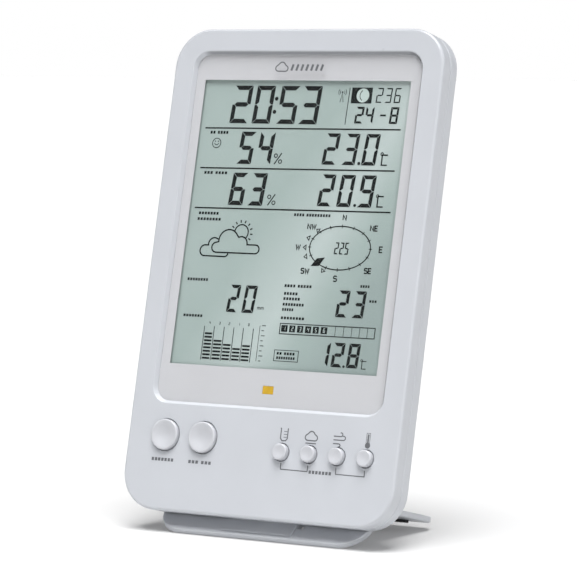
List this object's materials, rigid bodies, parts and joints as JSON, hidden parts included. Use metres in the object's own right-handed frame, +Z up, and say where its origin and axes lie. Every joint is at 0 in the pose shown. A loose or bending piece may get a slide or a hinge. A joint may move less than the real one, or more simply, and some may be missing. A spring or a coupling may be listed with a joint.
{
  "type": "weather_station_display_console",
  "caption": "Desktop display console of a wireless weather station, leaning back on a plug-in table stand, with a large segment display, front keys, rear keys and a battery bay",
  "frame": {"origin": "On the table top, centred left to right and front to back under the whole object's box", "axes": "+Z up from the table, -Y out of the face towards the reader, +X to the reader's right"},
  "size_m": [0.12, 0.0654, 0.1934],
  "materials": {
    "white_plastic": "fine satin light grey-white ABS",
    "key_plastic": "satin light grey-white keys",
    "window_plastic": "clear acrylic window",
    "mask_print": "light grey printed border behind the window",
    "amber_lens": "tinted amber light pipe",
    "lcd_glass": "grey-green reflective segment display",
    "led_body": "LED package",
    "diffuser": "milky light guide",
    "inner_plastic": "plain moulded carrier",
    "circuit_board": "green solder resist",
    "black_plastic": "black moulded component",
    "dark_key": "dark grey satin keys on the back",
    "zebra_rubber": "layered contact rubber",
    "foot_rubber": "soft non-slip pads",
    "spring_steel": "nickel-plated contacts and springs",
    "screw_steel": "zinc-plated screws",
    "cell_wrap": "printed film over the cells",
    "ribbon_film": "flat flexible cable",
    "antenna_wire": "insulated antenna wire",
    "module_can": "stamped shielding can"
  },
  "bodies": {
    "stand": {"table_stand": "white_plastic", "stand_feet": "foot_rubber"},
    "console": {"front_cover": "white_plastic", "back_cover": "white_plastic", "display_window": "window_plastic", "window_mask": "mask_print", "alert_lens": "amber_lens", "alert_led": "led_body", "lcd_glass": "lcd_glass", "lcd_frame": "inner_plastic", "light_guide": "diffuser", "contact_strip": "zebra_rubber", "frame_screws": "screw_steel", "main_board": "circuit_board", "driver_chip": "black_plastic", "key_board": "circuit_board", "front_switches": "black_plastic", "key_ribbon": "ribbon_film", "rear_board": "circuit_board", "rear_switches": "black_plastic", "rear_ribbon": "ribbon_film", "receiver_module": "module_can", "antenna_wire": "antenna_wire", "buzzer": "black_plastic", "climate_sensor": "circuit_board", "light_switch": "black_plastic", "board_screws": "screw_steel", "battery_left": "cell_wrap", "battery_middle": "cell_wrap", "battery_right": "cell_wrap", "battery_contacts": "spring_steel", "cover_screws": "screw_steel"},
    "history_key_body": {"history_key": "key_plastic"},
    "max_min_key_body": {"max_min_key": "key_plastic"},
    "rainfall_key_body": {"rainfall_key": "key_plastic"},
    "forecast_key_body": {"forecast_key": "key_plastic"},
    "wind_key_body": {"wind_key": "key_plastic"},
    "index_key_body": {"index_key": "key_plastic"},
    "clock_key_body": {"clock_key": "dark_key"},
    "alarm_key_body": {"alarm_key": "dark_key"},
    "alert_key_body": {"alert_key": "dark_key"},
    "down_key_body": {"down_key": "dark_key"},
    "up_key_body": {"up_key": "dark_key"},
    "reset_key_body": {"reset_key": "dark_key"},
    "light_key_body": {"light_key": "key_plastic"},
    "unit_switch_body": {"unit_switch": "black_plastic"},
    "battery_door_body": {"battery_door": "white_plastic"}
  },
  "joints": [
    {"name": "console_lift", "type": "slide", "parent": "stand", "child": "console", "axis": [0, 0.2334, 0.9724], "range_m": [0, 0.02]},
    {"name": "history_press", "type": "slide", "parent": "console", "child": "history_key_body", "axis": [0, 0.9724, -0.2334], "range_m": [0, 0.0008], "stiffness_N_per_m": 1500},
    {"name": "max_min_press", "type": "slide", "parent": "console", "child": "max_min_key_body", "axis": [0, 0.9724, -0.2334], "range_m": [0, 0.0008], "stiffness_N_per_m": 1500},
    {"name": "rainfall_press", "type": "slide", "parent": "console", "child": "rainfall_key_body", "axis": [0, 0.9724, -0.2334], "range_m": [0, 0.0008], "stiffness_N_per_m": 1500},
    {"name": "forecast_press", "type": "slide", "parent": "console", "child": "forecast_key_body", "axis": [0, 0.9724, -0.2334], "range_m": [0, 0.0008], "stiffness_N_per_m": 1500},
    {"name": "wind_press", "type": "slide", "parent": "console", "child": "wind_key_body", "axis": [0, 0.9724, -0.2334], "range_m": [0, 0.0008], "stiffness_N_per_m": 1500},
    {"name": "index_press", "type": "slide", "parent": "console", "child": "index_key_body", "axis": [0, 0.9724, -0.2334], "range_m": [0, 0.0008], "stiffness_N_per_m": 1500},
    {"name": "clock_press", "type": "slide", "parent": "console", "child": "clock_key_body", "axis": [0, -0.9724, 0.2334], "range_m": [0, 0.0008], "stiffness_N_per_m": 1500},
    {"name": "alarm_press", "type": "slide", "parent": "console", "child": "alarm_key_body", "axis": [0, -0.9724, 0.2334], "range_m": [0, 0.0008], "stiffness_N_per_m": 1500},
    {"name": "alert_press", "type": "slide", "parent": "console", "child": "alert_key_body", "axis": [0, -0.9724, 0.2334], "range_m": [0, 0.0008], "stiffness_N_per_m": 1500},
    {"name": "down_press", "type": "slide", "parent": "console", "child": "down_key_body", "axis": [0, -0.9724, 0.2334], "range_m": [0, 0.0008], "stiffness_N_per_m": 1500},
    {"name": "up_press", "type": "slide", "parent": "console", "child": "up_key_body", "axis": [0, -0.9724, 0.2334], "range_m": [0, 0.0008], "stiffness_N_per_m": 1500},
    {"name": "reset_press", "type": "slide", "parent": "console", "child": "reset_key_body", "axis": [0, -0.9724, 0.2334], "range_m": [0, 0.0008], "stiffness_N_per_m": 1500},
    {"name": "light_press", "type": "slide", "parent": "console", "child": "light_key_body", "axis": [0, -0.2334, -0.9724], "range_m": [0, 0.0005], "stiffness_N_per_m": 1500},
    {"name": "unit_slide", "type": "slide", "parent": "console", "child": "unit_switch_body", "axis": [1, 0, 0], "range_m": [0, 0.0025]},
    {"name": "door_swing", "type": "hinge", "parent": "console", "child": "battery_door_body", "pos_m": [0, 0.00421, 0.05239], "axis": [-1, 0, 0], "range_deg": [0, 75]}
  ]
}
